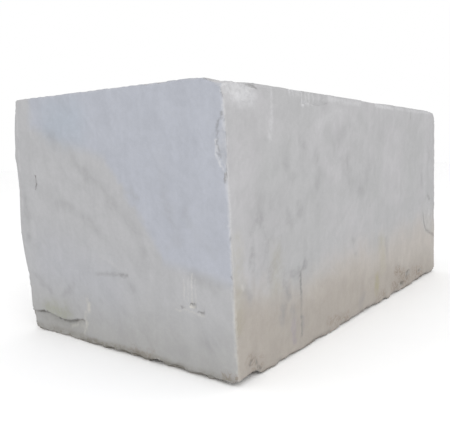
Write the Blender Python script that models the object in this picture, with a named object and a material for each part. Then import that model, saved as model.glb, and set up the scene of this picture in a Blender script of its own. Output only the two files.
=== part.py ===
"""A quarried block of white marble: one sawn solid with broken arrises and corners.

The block stands on its bed at z = 0 with its length along X. The front looks towards -Y and the
left end towards -X. The origin is under the middle of its bounding box. All sizes are in metres.
"""

import random
from collections import namedtuple
from math import pi, radians, sin, sqrt, tan

import bmesh
import bpy
from mathutils import Matrix, Vector, noise

# The block between its sawn faces, measured at mid-height and in the middle of the top.
LENGTH = 3.389
WIDTH = 1.833
HEIGHT = 1.604

# The broken bed lies a little below the plane that the heights below are measured from.
BED_DROP = 0.013

# The mesh of the sawn faces: the strip beside each arris, and the cells between the strips.
ARRIS_STRIP = 0.035
FACE_CELL = 0.170

X, Y, Z = Vector((1, 0, 0)), Vector((0, 1, 0)), Vector((0, 0, 1))


class Face:
    """A sawn face: a plane a little out of true, with two directions to measure along it."""

    def __init__(self, point, outward, across, up, across_tilt, up_tilt):
        self.point = Vector(point)
        self.outward = outward
        self.across = across
        self.up = up
        lean = across * tan(radians(across_tilt)) + up * tan(radians(up_tilt))
        self.normal = (outward + lean).normalized()

    def place(self, along, height):
        """The point of the face at these two coordinates of the block."""
        flat = self.across * along + self.up * height
        gap = self.normal.dot(self.point - flat) / self.normal.dot(self.outward)
        return flat + self.outward * gap

    def turned(self, roll, lean):
        """A rotation with z out of the face, rolled in degrees, that dips by lean across and up."""
        across = (self.across - self.normal * self.across.dot(self.normal)).normalized()
        up = (self.up - self.normal * self.up.dot(self.normal)).normalized()
        axes = Matrix((across, up, self.normal)).transposed()
        dip = Matrix.Rotation(radians(lean[0]), 3, "Y") @ Matrix.Rotation(radians(-lean[1]), 3, "X")
        return axes @ dip @ Matrix.Rotation(radians(roll), 3, "Z")


FACES = {
    "front": Face((0, -WIDTH / 2, HEIGHT / 2), -Y, X, Z, -0.09, 1.41),
    "back": Face((0, WIDTH / 2, HEIGHT / 2), Y, X, Z, -0.02, 0.91),
    "left": Face((-LENGTH / 2, 0, HEIGHT / 2), -X, Y, Z, -0.09, -1.16),
    "right": Face((LENGTH / 2, 0, HEIGHT / 2), X, Y, Z, -0.01, -0.60),
    "top": Face((0, 0, HEIGHT), Z, X, Y, 0.54, -0.19),
    "bed": Face((0, 0, -BED_DROP), -Z, X, Y, 0.0, 0.0),
}

# The rough back face: how far it stands out from its plane at each height, at the left end, and
# how far along the block that profile lasts.
BACK_PROFILE = (
    (-0.013, -0.006),
    (0.17, -0.006),
    (0.28, -0.010),
    (0.39, 0.000),
    (0.52, 0.018),
    (0.65, 0.044),
    (0.80, 0.046),
    (0.95, 0.022),
    (1.06, 0.012),
    (1.12, 0.050),
    (1.30, 0.062),
    (1.45, 0.046),
    (1.62, 0.020),
)
BACK_PROFILE_LENGTH = 1.1
BACK_PROFILE_REMAINS = 0.2  # the share of it that lasts to the right end
BACK_PROFILE_WANDER = 0.16
BACK_WANDER_LENGTH = 0.59
BACK_ROUGHNESS = 0.026
BACK_WAVES = ((0.80, 1.0), (0.36, 0.55))  # length and weight

# The left end swells a little beside the back arris.
LEFT_SWELL = 0.014
LEFT_SWELL_FROM = 0.35

# The top dips towards the front arris.
FRONT_DIP = 0.011
FRONT_DIP_WIDTH = 0.26

# The slow waves that a wire saw leaves in each sawn face, and their length.
SAW_WAVE = {"front": 0.0025, "left": 0.0030, "right": 0.0045, "back": 0.0, "top": 0.0, "bed": 0.0}
SAW_WAVE_LENGTH = 0.9

# How far each arris is rubbed back, on both of its faces. Each pair is in the order of the
# alphabet.
ARRIS_WEAR = {
    ("front", "left"): 0.003,
    ("front", "top"): 0.007,
    ("bed", "front"): 0.004,
    ("front", "right"): 0.004,
    ("left", "top"): 0.001,
    ("bed", "left"): 0.004,
    ("back", "left"): 0.004,
    ("back", "top"): 0.011,
    ("back", "bed"): 0.010,
    ("back", "right"): 0.012,
    ("right", "top"): 0.010,
    ("bed", "right"): 0.010,
}

# The wear of an arris varies along it: its mean and swing as shares, and their length.
WEAR_MEAN, WEAR_SWING = 0.8, 0.5
WEAR_LENGTH = 0.25

# Arrises broken all along: the faces, then the least and the greatest reach over each of them.
RAGGED_ARRISES = (
    ("front", "bed", (0.005, 0.046), (0.005, 0.030)),
    ("left", "bed", (0.005, 0.042), (0.005, 0.028)),
    ("right", "bed", (0.008, 0.052), (0.008, 0.040)),
    ("back", "bed", (0.008, 0.062), (0.010, 0.050)),
    ("front", "top", (0.003, 0.018), (0.003, 0.022)),
    ("back", "top", (0.005, 0.052), (0.005, 0.046)),
    ("right", "top", (0.004, 0.036), (0.004, 0.032)),
    ("back", "right", (0.005, 0.050), (0.005, 0.046)),
    ("back", "left", (0.003, 0.020), (0.003, 0.020)),
    ("front", "right", (0.002, 0.010), (0.002, 0.012)),
)
RAGGED_STEP = 0.044, 0.092  # the least and greatest distance between two points of the edge

# The broken edge swings in and out in slow swells and quick teeth: the length and weight of each,
# the mean, and a power that makes most of the edge shallow. The two faces don't break alike, so
# each has its own pattern.
RAGGED_SWELL, RAGGED_TOOTH = (0.26, 0.75), (0.075, 0.40)
RAGGED_MEAN = 0.42
RAGGED_POWER = 1.6
RAGGED_LANE, RAGGED_SIDE = 3.1, 0.37

# How far the broken strip is hollowed, as a share of its width.
RAGGED_HOLLOW = 0.16

# Single chips along each arris: faces, how many, the least and the greatest reach over each
# face, and the least and the greatest length.
ARRIS_CHIPS = (
    ("front", "top", 6, 0.009, 0.018, 0.06, 0.20),
    ("front", "bed", 7, 0.022, 0.046, 0.10, 0.24),
    ("left", "top", 3, 0.005, 0.009, 0.04, 0.09),
    ("left", "bed", 5, 0.020, 0.040, 0.09, 0.18),
    ("front", "left", 5, 0.006, 0.012, 0.05, 0.12),
    ("back", "left", 3, 0.012, 0.024, 0.08, 0.22),
    ("front", "right", 4, 0.008, 0.018, 0.07, 0.18),
    ("right", "top", 4, 0.018, 0.040, 0.10, 0.24),
    ("bed", "right", 4, 0.022, 0.046, 0.10, 0.24),
    ("back", "right", 4, 0.022, 0.050, 0.10, 0.26),
    ("back", "top", 6, 0.022, 0.052, 0.12, 0.32),
    ("back", "bed", 6, 0.024, 0.058, 0.12, 0.32),
)
CHIP_SEED = 16
CHIP_JITTER = 0.22
CHIP_MARGIN = 0.05  # the share of the arris kept free of chips at each end
CHIP_STRAY = 0.3  # how far a chip strays from even spacing, as a share of it
CHIP_CROWDING = 1.2  # the longest chip, as a share of the spacing
CHIP_SWING = 14  # degrees that a chip leans towards one face or the other

# The middle of a chip's ellipsoid stands this share of its radius outside the arris. What the
# arris then cuts from it is CHIP_LENGTH of its length, and it reaches CHIP_REACH of its radius
# over both faces, which meet at a right angle.
CHIP_STANDOFF = 0.6
CHIP_LENGTH = sqrt(1 - CHIP_STANDOFF**2)
CHIP_REACH = sqrt(1 - CHIP_STANDOFF**2 / 2) - CHIP_STANDOFF / sqrt(2)

# Shallow spalls: the face and the place on it, the width, height and depth, the roll, how far the
# dish dips across and up the face in degrees, and how finely the broken surface is faceted.
Spall = namedtuple("Spall", "name face place size roll lean detail", defaults=(0, (0, 0), 1))
SPALLS = (
    Spall("near_corner_spall", "front", (-1.615, 1.590), (0.48, 0.24, 0.018), -4, (0, 2), 2),
    Spall("under_arris_notch", "front", (-1.442, 1.584), (0.11, 0.034, 0.016), -7),
    Spall("right_edge_shell", "front", (1.590, 0.570), (0.46, 0.46, 0.010), 0, (-2.2, 0), 2),
    Spall("stained_pit_a", "front", (0.915, 0.112), (0.17, 0.085, 0.014), 18),
    Spall("stained_pit_b", "front", (0.690, 0.220), (0.12, 0.070, 0.010), -25),
    Spall("stained_pit_c", "front", (1.240, 0.075), (0.14, 0.060, 0.015), 8),
    Spall("stained_pit_d", "front", (0.770, 0.045), (0.15, 0.060, 0.018), -6),
    Spall("near_bed_chip", "front", (-1.570, -0.010), (0.32, 0.120, 0.042), 3),
    Spall("near_bed_undercut", "bed", (-1.548, -0.925), (0.32, 0.20, 0.030)),
    Spall("front_bed_notch", "front", (-0.940, -0.013), (0.055, 0.060, 0.026)),
    Spall("near_edge_spall", "left", (-0.888, 1.272), (0.115, 0.240, 0.015), 2, (0, 0), 2),
    Spall("gouge_pit", "left", (-0.640, 0.394), (0.060, 0.034, 0.013), 12),
    Spall("gouge_right_pit", "left", (-0.705, 0.368), (0.080, 0.022, 0.008), -14),
    Spall("gouge_left_pit", "left", (-0.580, 0.384), (0.070, 0.022, 0.007), 10),
    Spall("gouge_low_pit", "left", (-0.720, 0.334), (0.060, 0.020, 0.006), -18),
    Spall("left_bed_notch", "bed", (-1.655, -0.322), (0.24, 0.070, 0.038), 45, (0, 0), 2),
    Spall("left_bed_undercut", "bed", (-1.700, -0.830), (0.16, 0.30, 0.032)),
    Spall("left_bed_chip", "left", (-0.520, 0.002), (0.140, 0.065, 0.014), 5),
    Spall("left_bed_spall", "left", (-0.160, -0.013), (0.280, 0.075, 0.016), -3),
    Spall("top_near_wear", "top", (-1.585, -0.910), (0.52, 0.34, 0.019), 3),
    Spall("top_scar_wear", "top", (-0.930, -0.920), (0.24, 0.26, 0.012)),
    Spall("top_middle_wear", "top", (0.250, -0.930), (0.66, 0.34, 0.014), -2),
    Spall("back_edge_scallop", "back", (-1.700, 0.960), (0.10, 0.18, 0.006)),
    Spall("right_low_spall", "right", (0.500, 0.060), (0.74, 0.36, 0.016), -5, (2.5, 3), 2),
    Spall("right_high_spall", "right", (-0.330, 1.570), (0.56, 0.24, 0.014), 4, (-2, -5), 2),
)

# The flakes split from the rough back: how many and from where, and the least and greatest width,
# height as a share of the width, depth, and dip in degrees.
BACK_FLAKES = 9
FLAKES_FROM = -1.0  # the x at which they start, clear of the profile by the left end
FLAKE_WIDTH = 0.55, 1.15
FLAKE_TALLNESS = 0.35, 0.65
FLAKE_DEPTH = 0.006, 0.016
FLAKE_DIP = 2.0, 4.5
FLAKE_ROLL = 30  # degrees either way
FLAKE_STRAY = 0.4  # how far a flake strays from even spacing, as a share of it
FLAKE_HEIGHTS = 0.12, 0.92  # shares of the block's height
FLAKE_JITTER = 0.12
FLAKE_DETAIL = 2

SPALL_JITTER = 0.07
SPALL_STANDOFF = 0.5  # the middle of a spall's ellipsoid is this share of its radius outside

# Corners broken off along a rough plane: faces, then how far the break runs along the arris
# between the first two faces, the last two, and the first and the last.
CORNER_BREAKS = (
    ("near_top", ("front", "left", "top"), (0.070, 0.125, 0.180)),
    ("right_top_outer", ("front", "right", "top"), (0.052, 0.260, 0.200)),
    ("right_top_inner", ("front", "right", "top"), (0.104, 0.120, 0.108)),
    ("near_bed", ("front", "left", "bed"), (0.038, 0.070, 0.190)),
    ("left_back_bed", ("back", "left", "bed"), (0.128, 0.054, 0.110)),
    ("right_back_top", ("back", "right", "top"), (0.160, 0.110, 0.190)),
    ("right_back_bed", ("back", "right", "bed"), (0.090, 0.150, 0.110)),
    ("right_front_bed", ("front", "right", "bed"), (0.040, 0.075, 0.060)),
)
BREAK_ROUGHNESS, BREAK_GRAIN = 0.006, 0.05  # the height and length of the bumps
BREAK_SLAB = 2.2  # the slab's side, as a share of the longest reach
BREAK_CUTS = 7

# The ledge low on the left end, by the back: the fracture line as (y, z), with the depth of the
# undercut below it. The undercut runs out to nothing at the bed.
LEDGE = (
    (0.990, 0.118, 0.007),
    (0.850, 0.127, 0.013),
    (0.775, 0.145, 0.023),
    (0.671, 0.127, 0.032),
    (0.558, 0.115, 0.028),
    (0.459, 0.118, 0.022),
    (0.392, 0.139, 0.016),
    (0.335, 0.150, 0.010),
)
LEDGE_TOE = 0.003
LEDGE_LIP = 0.004

# The squared scar that a lifting tool left under the front arris, with its vertical grooves.
SCAR_FROM, SCAR_TO = -0.907, -0.590
SCAR_FOOT = 1.510
SCAR_DEPTH = 0.008
SCAR_GROOVE = 0.004
SCAR_GROOVES = 5
SCAR_HEAD = 1.6  # how much deeper the scar is at the arris than at its foot
SCAR_FOOT_SWING, SCAR_FOOT_LENGTH = 0.012, 0.11  # the unevenness of its foot

CLEAR = 0.12  # how far a cutter reaches outside the block
MERGE = 0.00005  # points closer than this are one
MARBLE = (0.47, 0.475, 0.49)
MARBLE_ROUGHNESS = 0.72

cutters = bpy.data.collections.new("cutters")


def clear_scene():
    """Start from an empty scene that holds only the collection of cutters."""
    for obj in list(bpy.data.objects):
        bpy.data.objects.remove(obj, do_unlink=True)
    bpy.context.scene.collection.children.link(cutters)


def meeting_point(names):
    """The point where three faces meet."""
    planes = [FACES[name] for name in names]
    normals = Matrix([face.normal for face in planes])
    offsets = Vector([face.normal.dot(face.point) for face in planes])
    return normals.inverted() @ offsets


def smooth(value):
    """A soft step from 0 to 1."""
    value = min(max(value, 0.0), 1.0)
    return value * value * (3 - 2 * value)


def along_profile(profile, height):
    """Reads a profile of (height, offset) points at this height, by straight lines."""
    for (low, first), (high, second) in zip(profile, profile[1:]):
        if height <= high:
            share = max(height - low, 0.0) / (high - low)
            return first + (second - first) * share
    return profile[-1][1]


def relief(name, point):
    """How far the block's surface stands out from this sawn plane, near this point."""
    height = SAW_WAVE[name] * noise.noise(point / SAW_WAVE_LENGTH + Vector((len(name), 3, 7)))
    if name == "back":
        fade = 1 - smooth((point.x + LENGTH / 2) / BACK_PROFILE_LENGTH)
        drift = noise.noise(Vector((point.x / BACK_WANDER_LENGTH, 0, 3)))
        wander = BACK_PROFILE_WANDER * (1 - fade) * drift
        share = BACK_PROFILE_REMAINS + (1 - BACK_PROFILE_REMAINS) * fade
        height += along_profile(BACK_PROFILE, point.z + wander) * share
        for length, weight in BACK_WAVES:
            height += BACK_ROUGHNESS * weight * noise.noise(point / length + Vector((5, 1, 2)))
    if name == "left":
        span = WIDTH / 2 - LEFT_SWELL_FROM
        rise = smooth((point.y - LEFT_SWELL_FROM) / span)
        height += LEFT_SWELL * rise * sin(pi * min(point.z / HEIGHT, 1.0))
    if name == "top":
        inward = (point.y + WIDTH / 2) / FRONT_DIP_WIDTH
        height -= FRONT_DIP * (1 - smooth(inward))
    return height


def stations(length):
    """Where the mesh lines cross an edge of this length, as shares of it."""
    strip = ARRIS_STRIP / length
    count = max(round((length - 2 * ARRIS_STRIP) / FACE_CELL), 2)
    inner = [strip + (1 - 2 * strip) * step / count for step in range(count + 1)]
    return [0.0] + inner + [1.0]


def sides_of(share, low, high):
    """The face that a share of 0 or 1 lies on."""
    if share == 0.0:
        return [low]
    if share == 1.0:
        return [high]
    return []


def block_point(share):
    """The point at these shares of the block's length, width and height, on its real surface."""
    ends = ("left", "right"), ("front", "back"), ("bed", "top")
    point = Vector()
    for i, j, k in ((i, j, k) for i in (0, 1) for j in (0, 1) for k in (0, 1)):
        weight = 1.0
        for side, amount in zip((i, j, k), share):
            weight *= amount if side else 1 - amount
        point += meeting_point((ends[0][i], ends[1][j], ends[2][k])) * weight
    names = []
    for amount, (low, high) in zip(share, ends):
        names += sides_of(amount, low, high)
    moved = point.copy()
    for name in names:
        moved += FACES[name].normal * relief(name, point)
    names.sort()
    pairs = [(a, b) for a in names for b in names if a < b]
    for pair in pairs:
        rub = ARRIS_WEAR[pair] * (WEAR_MEAN + WEAR_SWING * noise.noise(point / WEAR_LENGTH))
        moved -= (FACES[pair[0]].normal + FACES[pair[1]].normal) * rub / len(pairs)
    return moved


def sawn_block():
    """The block's mesh before anything is broken from it: a shell of cells on its six faces."""
    mesh = bmesh.new()
    lines = [stations(size) for size in (LENGTH, WIDTH, HEIGHT)]
    last = [len(line) - 1 for line in lines]
    made = {}

    def vertex(*index):
        if index not in made:
            share = [line[step] for line, step in zip(lines, index)]
            made[index] = mesh.verts.new(block_point(share))
        return made[index]

    for axis in range(3):
        first, second = (axis + 1) % 3, (axis + 2) % 3
        for side in (0, last[axis]):
            for i in range(last[first]):
                for j in range(last[second]):
                    ring = []
                    for di, dj in ((0, 0), (1, 0), (1, 1), (0, 1)):
                        index = [0, 0, 0]
                        index[axis] = side
                        index[first] = i + di
                        index[second] = j + dj
                        ring.append(vertex(*index))
                    mesh.faces.new(ring)
    bmesh.ops.recalc_face_normals(mesh, faces=mesh.faces)
    bmesh.ops.triangulate(mesh, faces=mesh.faces)
    return mesh


def new_cutter(name, mesh):
    """Keeps this closed mesh as a hidden cutter of that name, with its normals outward."""
    mesh.normal_update()
    bmesh.ops.recalc_face_normals(mesh, faces=mesh.faces)
    data = bpy.data.meshes.new(name)
    mesh.to_mesh(data)
    mesh.free()
    cutter = bpy.data.objects.new(name, data)
    cutter.hide_render = True
    cutter.display_type = "WIRE"
    cutters.objects.link(cutter)
    return cutter


def chance_for(name):
    """Random numbers of one cutter's own, so that a change to one leaves the others as they are."""
    return random.Random(f"{CHIP_SEED} {name}")


def add_pebble(mesh, centre, turn, half_sizes, detail, jitter, chance):
    """Adds a rough ellipsoid, whose inside is what one blow breaks away."""
    made = bmesh.ops.create_icosphere(mesh, subdivisions=detail, radius=1.0)
    spin = Matrix.Rotation(chance.uniform(0, 2 * pi), 3, chance.choice(("X", "Y", "Z")))
    for vertex in made["verts"]:
        shape = spin @ vertex.co
        shape *= 1 + chance.uniform(-jitter, jitter)
        shape = Vector([part * size for part, size in zip(shape, half_sizes)])
        vertex.co = centre + turn @ shape


def spall_cutter(spall, jitter):
    """A shallow dish broken from a face by the foot of an ellipsoid that stands off it."""
    face = FACES[spall.face]
    width, height, depth = spall.size
    widen = 1 / sqrt(1 - SPALL_STANDOFF**2)
    radius = depth / (1 - SPALL_STANDOFF)
    half_sizes = (width / 2 * widen, height / 2 * widen, radius)
    centre = face.place(*spall.place)
    centre += face.normal * (radius * SPALL_STANDOFF + relief(spall.face, centre))
    mesh = bmesh.new()
    turn = face.turned(spall.roll, spall.lean)
    add_pebble(mesh, centre, turn, half_sizes, spall.detail, jitter, chance_for(spall.name))
    return new_cutter(spall.name, mesh)


def back_flakes():
    """Flakes along the rough back, each dipping to a step on one side."""
    chance = chance_for("back_flakes")
    flakes = []
    for number in range(BACK_FLAKES):
        stray = chance.uniform(-FLAKE_STRAY, FLAKE_STRAY)
        x = FLAKES_FROM + (LENGTH / 2 - FLAKES_FROM) * (number + 0.5 + stray) / BACK_FLAKES
        z = HEIGHT * chance.uniform(*FLAKE_HEIGHTS)
        width = chance.uniform(*FLAKE_WIDTH)
        size = (width, width * chance.uniform(*FLAKE_TALLNESS), chance.uniform(*FLAKE_DEPTH))
        roll = chance.uniform(-FLAKE_ROLL, FLAKE_ROLL)
        lean = [chance.choice((-1, 1)) * chance.uniform(*FLAKE_DIP) for _ in range(2)]
        name = f"back_flake_{number}"
        flakes.append(Spall(name, "back", (x, z), size, roll, lean, FLAKE_DETAIL))
    return flakes


def arris_ends(first, second):
    """The two corners at the ends of the arris between these faces."""
    pairs = (("left", "right"), ("front", "back"), ("bed", "top"))
    free = [pair for pair in pairs if first not in pair and second not in pair][0]
    return [meeting_point((first, second, end)) for end in free]


def chip_cutters(first, second, count, reach_low, reach_high, long_low, long_high):
    """Two cutters for one arris: every other chip in each, so that no two in one touch."""
    name = f"chips_{first}_{second}"
    chance = chance_for(name)
    start, end = arris_ends(first, second)
    edge = end - start
    outward = (FACES[first].normal + FACES[second].normal).normalized()
    meshes = (bmesh.new(), bmesh.new())
    for step in range(count):
        stray = chance.uniform(-CHIP_STRAY, CHIP_STRAY)
        share = CHIP_MARGIN + (1 - 2 * CHIP_MARGIN) * (step + 0.5 + stray) / count
        point = start + edge * share
        point += FACES[first].normal * relief(first, point)
        point += FACES[second].normal * relief(second, point)
        reach = chance.uniform(reach_low, reach_high)
        long = min(chance.uniform(long_low, long_high), CHIP_CROWDING * edge.length / count)
        radius = reach / CHIP_REACH
        swing = Matrix.Rotation(radians(chance.uniform(-CHIP_SWING, CHIP_SWING)), 3, edge)
        away = swing @ outward
        along = edge.normalized()
        turn = Matrix((along, away.cross(along), away)).transposed()
        half_sizes = (long / 2 / CHIP_LENGTH, radius, radius)
        centre = point + away * radius * CHIP_STANDOFF
        add_pebble(meshes[step % 2], centre, turn, half_sizes, 1, CHIP_JITTER, chance)
    return [new_cutter(f"{name}_{side}", mesh) for side, mesh in zip(("odd", "even"), meshes)]


def lofted_cutter(name, rings):
    """A closed cutter through these rings of points, with flat ends."""
    mesh = bmesh.new()
    rows = [[mesh.verts.new(point) for point in ring] for ring in rings]
    for row, following in zip(rows, rows[1:]):
        for i in range(len(row)):
            j = (i + 1) % len(row)
            mesh.faces.new((row[i], row[j], following[j], following[i]))
    mesh.faces.new(rows[0])
    mesh.faces.new(rows[-1])
    bmesh.ops.triangulate(mesh, faces=mesh.faces)
    return new_cutter(name, mesh)


def raggedness(distance, lane):
    """How far an arris is broken here, from 0 to 1. Each lane is another pattern."""
    height = RAGGED_MEAN
    for depth, (length, weight) in enumerate((RAGGED_SWELL, RAGGED_TOOTH)):
        height += weight * noise.noise(Vector((distance / length, lane, 0.5 + 7 * depth)))
    return min(max(height, 0.0), 1.0) ** RAGGED_POWER


def ragged_cutter(first, second, first_reach, second_reach, lane):
    """A long cutter over one arris, with a broken edge on both faces and a hollow between."""
    name = f"ragged_{first}_{second}"
    chance = chance_for(name)
    start, end = arris_ends(first, second)
    along = (end - start).normalized()
    normals = FACES[first].normal, FACES[second].normal
    outward = normals[0] + normals[1]
    rings = []
    distance = -CLEAR
    while distance < (end - start).length + CLEAR:
        arris = start + along * distance
        arris += normals[0] * relief(first, arris) + normals[1] * relief(second, arris)
        marks = []
        for side, (low, high) in enumerate((first_reach, second_reach)):
            reach = low + (high - low) * raggedness(distance, lane + RAGGED_SIDE * side)
            marks.append(arris - normals[1 - side] * reach)
        hollow = (marks[0] - marks[1]).length * RAGGED_HOLLOW
        middle = (marks[0] + marks[1]) / 2 - outward * hollow / 2
        rings.append(
            (
                marks[0] + normals[0] * CLEAR,
                marks[0],
                middle,
                marks[1],
                marks[1] + normals[1] * CLEAR,
                arris + outward * CLEAR,
            )
        )
        distance += chance.uniform(*RAGGED_STEP)
    return lofted_cutter(name, rings)


def corner_cutter(name, names, reaches):
    """A slab that lies on the plane through three points of the arrises at one corner."""
    corner = meeting_point(names)
    arrises = ((names[0], names[1]), (names[1], names[2]), (names[0], names[2]))
    marks = []
    for (first, second), reach in zip(arrises, reaches):
        ends = arris_ends(first, second)
        far = max(ends, key=lambda end: (end - corner).length)
        marks.append(corner + (far - corner).normalized() * reach)
    outward = (marks[1] - marks[0]).cross(marks[2] - marks[0]).normalized()
    if outward.dot(corner - marks[0]) < 0:
        outward.negate()
    middle = (marks[0] + marks[1] + marks[2]) / 3
    size = BREAK_SLAB * max(reaches) + CLEAR
    turn = outward.to_track_quat("Z", "Y").to_matrix().to_4x4()
    lift = Matrix.Translation(middle + outward * size / 2)
    mesh = bmesh.new()
    bmesh.ops.create_cube(mesh, size=size, matrix=lift @ turn)
    bmesh.ops.subdivide_edges(mesh, edges=mesh.edges[:], cuts=BREAK_CUTS, use_grid_fill=True)
    for vertex in mesh.verts:
        bump = noise.noise(vertex.co / BREAK_GRAIN + Vector((9, 4, 1)))
        vertex.co += outward * BREAK_ROUGHNESS * bump
    return new_cutter(f"break_{name}", mesh)


def ledge_cutter():
    """The undercut below the fracture line low on the left end."""
    face = FACES["left"]
    rings = []
    for y, line, depth in LEDGE:
        under = face.place(y, line) - face.outward * depth
        lip = face.place(y, line + LEDGE_LIP) + face.outward * CLEAR
        toe = face.place(y, -CLEAR) - face.outward * LEDGE_TOE
        foot = face.place(y, -CLEAR) + face.outward * CLEAR
        rings.append((lip, under, toe, foot))
    return lofted_cutter("ledge_undercut", rings)


def scar_cutter():
    """The squared scar under the front arris: rings across it make its grooves."""
    face = FACES["front"]
    rings = []
    for step in range(2 * SCAR_GROOVES + 1):
        x = SCAR_FROM + (SCAR_TO - SCAR_FROM) * step / (2 * SCAR_GROOVES)
        depth = SCAR_DEPTH + SCAR_GROOVE * (step % 2)
        foot = SCAR_FOOT
        foot += SCAR_FOOT_SWING * noise.noise(Vector((x / SCAR_FOOT_LENGTH, 0, 4)))
        inner_foot = face.place(x, foot + depth) - face.outward * depth
        outer_foot = face.place(x, foot - depth) + face.outward * CLEAR
        inner_head = face.place(x, HEIGHT + CLEAR) - face.outward * depth * SCAR_HEAD
        outer_head = face.place(x, HEIGHT + CLEAR) + face.outward * CLEAR
        rings.append((outer_foot, inner_foot, inner_head, outer_head))
    return lofted_cutter("tool_scar", rings)


def all_cutters():
    """Every cutter, in the order in which it is taken from the block."""
    made = [scar_cutter(), ledge_cutter()]
    for name, names, reaches in CORNER_BREAKS:
        made.append(corner_cutter(name, names, reaches))
    for spall in SPALLS:
        made.append(spall_cutter(spall, SPALL_JITTER))
    for flake in back_flakes():
        made.append(spall_cutter(flake, FLAKE_JITTER))
    for lane, row in enumerate(RAGGED_ARRISES):
        made.append(ragged_cutter(*row, RAGGED_LANE * lane))
    for row in ARRIS_CHIPS:
        made += chip_cutters(*row)
    return made


def marble_material():
    """White marble, sawn and weathered: pale grey and dull."""
    material = bpy.data.materials.new("marble")
    material.use_nodes = True
    shader = material.node_tree.nodes["Principled BSDF"]
    shader.inputs["Base Color"].default_value = (*MARBLE, 1.0)
    shader.inputs["Roughness"].default_value = MARBLE_ROUGHNESS
    shader.inputs["Metallic"].default_value = 0.0
    material.diffuse_color = (*MARBLE, 1.0)
    return material


def break_away(block, pieces):
    """Cuts every piece from the block and keeps the result as the block's own mesh."""
    for cutter in pieces:
        cut = block.modifiers.new(cutter.name, "BOOLEAN")
        cut.operation = "DIFFERENCE"
        cut.solver = "EXACT"
        cut.object = cutter
    graph = bpy.context.evaluated_depsgraph_get()
    broken = bpy.data.meshes.new_from_object(block.evaluated_get(graph))
    block.modifiers.clear()
    block.data = broken


def tidy_mesh(block):
    """Merges points that meet, and stands the block on the origin."""
    mesh = bmesh.new()
    mesh.from_mesh(block.data)
    bmesh.ops.triangulate(mesh, faces=mesh.faces)
    bmesh.ops.remove_doubles(mesh, verts=mesh.verts, dist=MERGE)
    low = Vector([min(vertex.co[axis] for vertex in mesh.verts) for axis in range(3)])
    high = Vector([max(vertex.co[axis] for vertex in mesh.verts) for axis in range(3)])
    shift = Vector((-(low.x + high.x) / 2, -(low.y + high.y) / 2, -low.z))
    bmesh.ops.translate(mesh, vec=shift, verts=mesh.verts)
    mesh.to_mesh(block.data)
    mesh.free()


def build():
    clear_scene()
    data = bpy.data.meshes.new("marble_block")
    mesh = sawn_block()
    mesh.to_mesh(data)
    mesh.free()
    block = bpy.data.objects.new("marble_block", data)
    bpy.context.scene.collection.objects.link(block)
    break_away(block, all_cutters())
    tidy_mesh(block)
    block.data.materials.clear()
    block.data.materials.append(marble_material())
    return block


build()
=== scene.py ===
# The looks of a quarried marble block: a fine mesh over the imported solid, the stone's material,
# and a plain studio. All sizes are in metres.

from itertools import product
from math import cos, radians, sin

import bpy
import numpy as np
from mathutils import Matrix, Vector, noise
from mathutils.bvhtree import BVHTree


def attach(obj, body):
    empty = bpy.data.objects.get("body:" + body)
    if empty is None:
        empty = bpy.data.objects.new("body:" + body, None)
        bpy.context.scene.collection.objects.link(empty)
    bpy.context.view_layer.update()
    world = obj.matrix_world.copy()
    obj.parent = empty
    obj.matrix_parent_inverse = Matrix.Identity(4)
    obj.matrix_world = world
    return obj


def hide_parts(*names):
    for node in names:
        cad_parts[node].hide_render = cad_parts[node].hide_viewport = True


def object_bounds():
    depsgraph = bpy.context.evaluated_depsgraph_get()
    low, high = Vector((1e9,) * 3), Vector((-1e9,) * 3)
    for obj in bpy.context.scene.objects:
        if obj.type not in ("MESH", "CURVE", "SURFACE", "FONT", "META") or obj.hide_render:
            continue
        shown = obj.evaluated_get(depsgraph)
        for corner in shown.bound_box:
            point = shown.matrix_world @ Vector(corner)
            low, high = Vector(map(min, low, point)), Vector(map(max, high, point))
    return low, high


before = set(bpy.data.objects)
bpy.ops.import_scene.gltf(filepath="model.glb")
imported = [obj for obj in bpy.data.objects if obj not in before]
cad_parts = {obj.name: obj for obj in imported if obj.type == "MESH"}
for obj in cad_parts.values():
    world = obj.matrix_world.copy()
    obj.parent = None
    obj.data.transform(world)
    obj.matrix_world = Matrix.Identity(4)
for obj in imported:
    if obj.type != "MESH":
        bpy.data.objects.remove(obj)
cad_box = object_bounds()

NODE = "marble_block"

# The block between its sawn faces. Places on it are measured from the middle of the plane that
# its heights start from, which lies a little above the broken bed.
LENGTH = 3.389
WIDTH = 1.833
HEIGHT = 1.604
SIZES = (LENGTH, WIDTH, HEIGHT)
BED_DROP = 0.013

X, Y, Z = np.eye(3)
OUTWARD = {"left": -X, "right": X, "front": -Y, "back": Y, "bed": -Z, "top": Z}
ENDS = (("left", "right"), ("front", "back"), ("bed", "top"))

# How far a facet may lean from the normal found so far and still belong to a sawn face, in each
# round of the search for that face.
SAWN_LEANS = (radians(3.5), radians(2.0), radians(2.0))

# The fine mesh: its cells beside the arrises and in the middle of the faces, how far the fine
# cells reach from the low and the high end of each axis, and how far inside the sawn planes the
# core lies that its rays start from.
FINE_CELL = 0.0085
COARSE_CELL = 0.0248
FINE_REACH = ((0.33, 0.17), (0.32, 0.20), (0.20, 0.22))
CORE_INSET = 0.25

# The search for each arris: how far inside it the fan of rays starts, the fan's half angle, the
# rays in it, and those in the narrow fan around the best of them.
FAN_DEPTH = 0.30
FAN_ANGLE = radians(14)
FAN_RAYS = 41
NARROW_RAYS = 9

# The run of each arris: how many neighbours on each side smooth a point, how near the search goes
# to a corner, and the stretch over which the arris comes back to the corner of the sawn planes.
ARRIS_WINDOW = 4
CORNER_MARGIN = 0.04
CORNER_FADE = 0.12

# Where stone is missing from a sawn face: the reach that is searched for the unbroken skin, and
# the depths below it at which the surface starts to count as broken, and counts fully.
SKIN_REACH = 0.14
BROKEN_FROM, BROKEN_TO = 0.0030, 0.0080


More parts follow.
